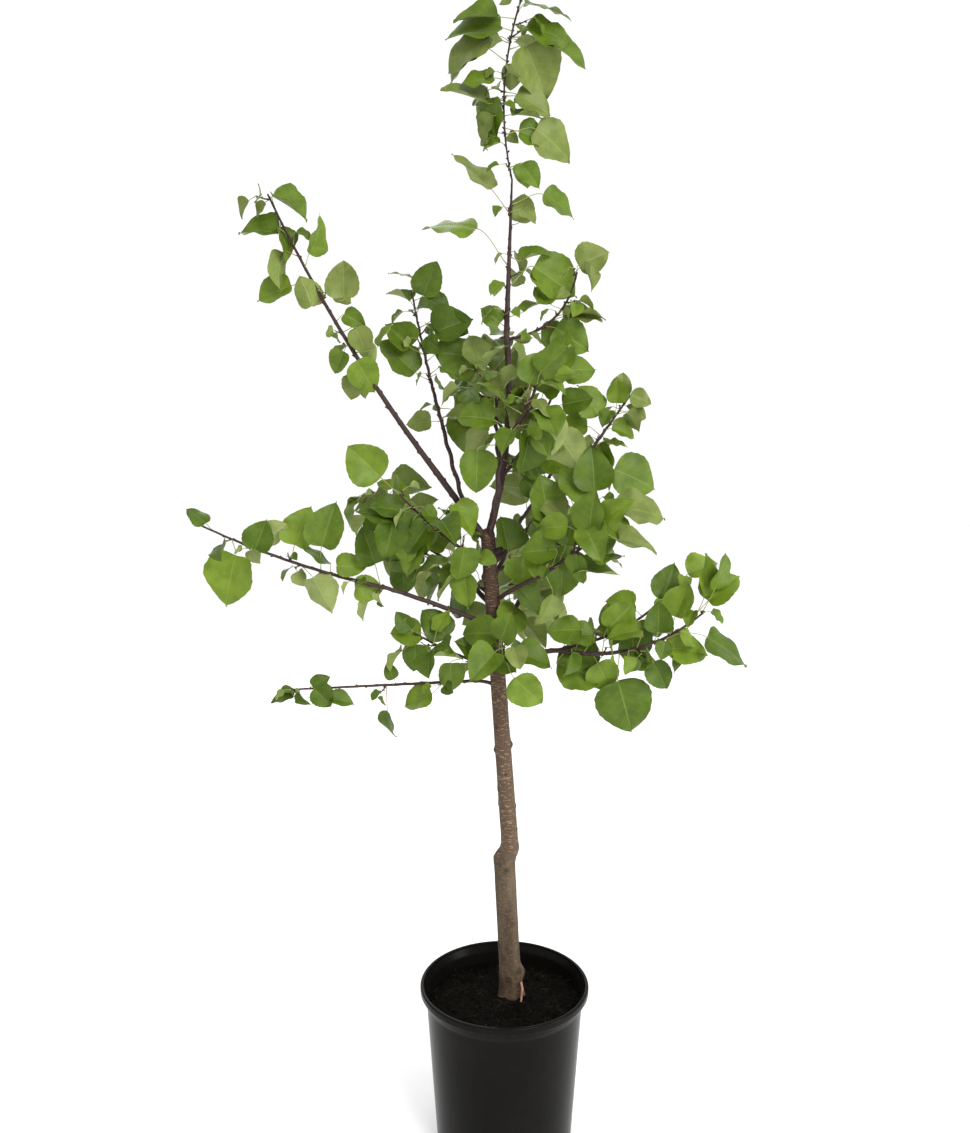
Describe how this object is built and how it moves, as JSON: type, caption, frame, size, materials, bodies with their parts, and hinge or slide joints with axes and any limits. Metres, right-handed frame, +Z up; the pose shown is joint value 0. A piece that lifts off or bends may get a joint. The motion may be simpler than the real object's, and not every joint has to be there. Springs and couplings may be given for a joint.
{
  "type": "potted apricot tree",
  "caption": "Young apricot tree with a slim grafted trunk, open leafy boughs and heart-shaped leaves, standing in a round black nursery pot.",
  "frame": {"origin": "middle of the pot's flat underside, on the ground", "axes": "+Z up along the pot's axis, +X to the right and +Y away from the viewer in the reference view"},
  "size_m": [0.7984, 0.4338, 1.7396],
  "materials": {
    "pot_plastic": "satin black moulded plastic",
    "potting_soil": "dark moist potting soil with small fibres",
    "trunk_bark": "grey-brown young bark with pale pores",
    "bough_bark": "smooth red-brown young bark",
    "leaf": "fresh green leaf, half glossy above and matt below"
  },
  "bodies": {
    "root": {"pot": "pot_plastic", "soil": "potting_soil", "trunk": "trunk_bark", "leader": "bough_bark", "left_high_bough": "bough_bark", "left_inner_bough": "bough_bark", "left_mid_bough": "bough_bark", "left_low_bough": "bough_bark", "right_low_bough": "bough_bark", "right_mid_bough": "bough_bark", "right_high_bough": "bough_bark", "front_bough": "bough_bark", "back_low_bough": "bough_bark", "back_left_bough": "bough_bark", "back_right_bough": "bough_bark", "back_high_bough": "bough_bark", "left_high_leaves": "leaf", "left_inner_leaves": "leaf", "left_mid_leaves": "leaf", "left_low_leaves": "leaf", "left_low_inner_leaves": "leaf", "left_upper_cluster": "leaf", "left_lower_cluster": "leaf", "right_low_leaves": "leaf", "right_low_upper_leaves": "leaf", "right_mid_leaves": "leaf", "right_high_leaves": "leaf", "right_cluster": "leaf", "front_leaves": "leaf", "front_low_leaves": "leaf", "centre_right_leaves": "leaf", "centre_left_leaves": "leaf", "leader_middle_leaves": "leaf", "leader_top_leaves": "leaf", "right_top_leaves": "leaf", "back_low_leaves": "leaf", "back_left_leaves": "leaf", "back_right_leaves": "leaf", "back_high_leaves": "leaf", "back_low_right_leaves": "leaf"}
  },
  "joints": []
}
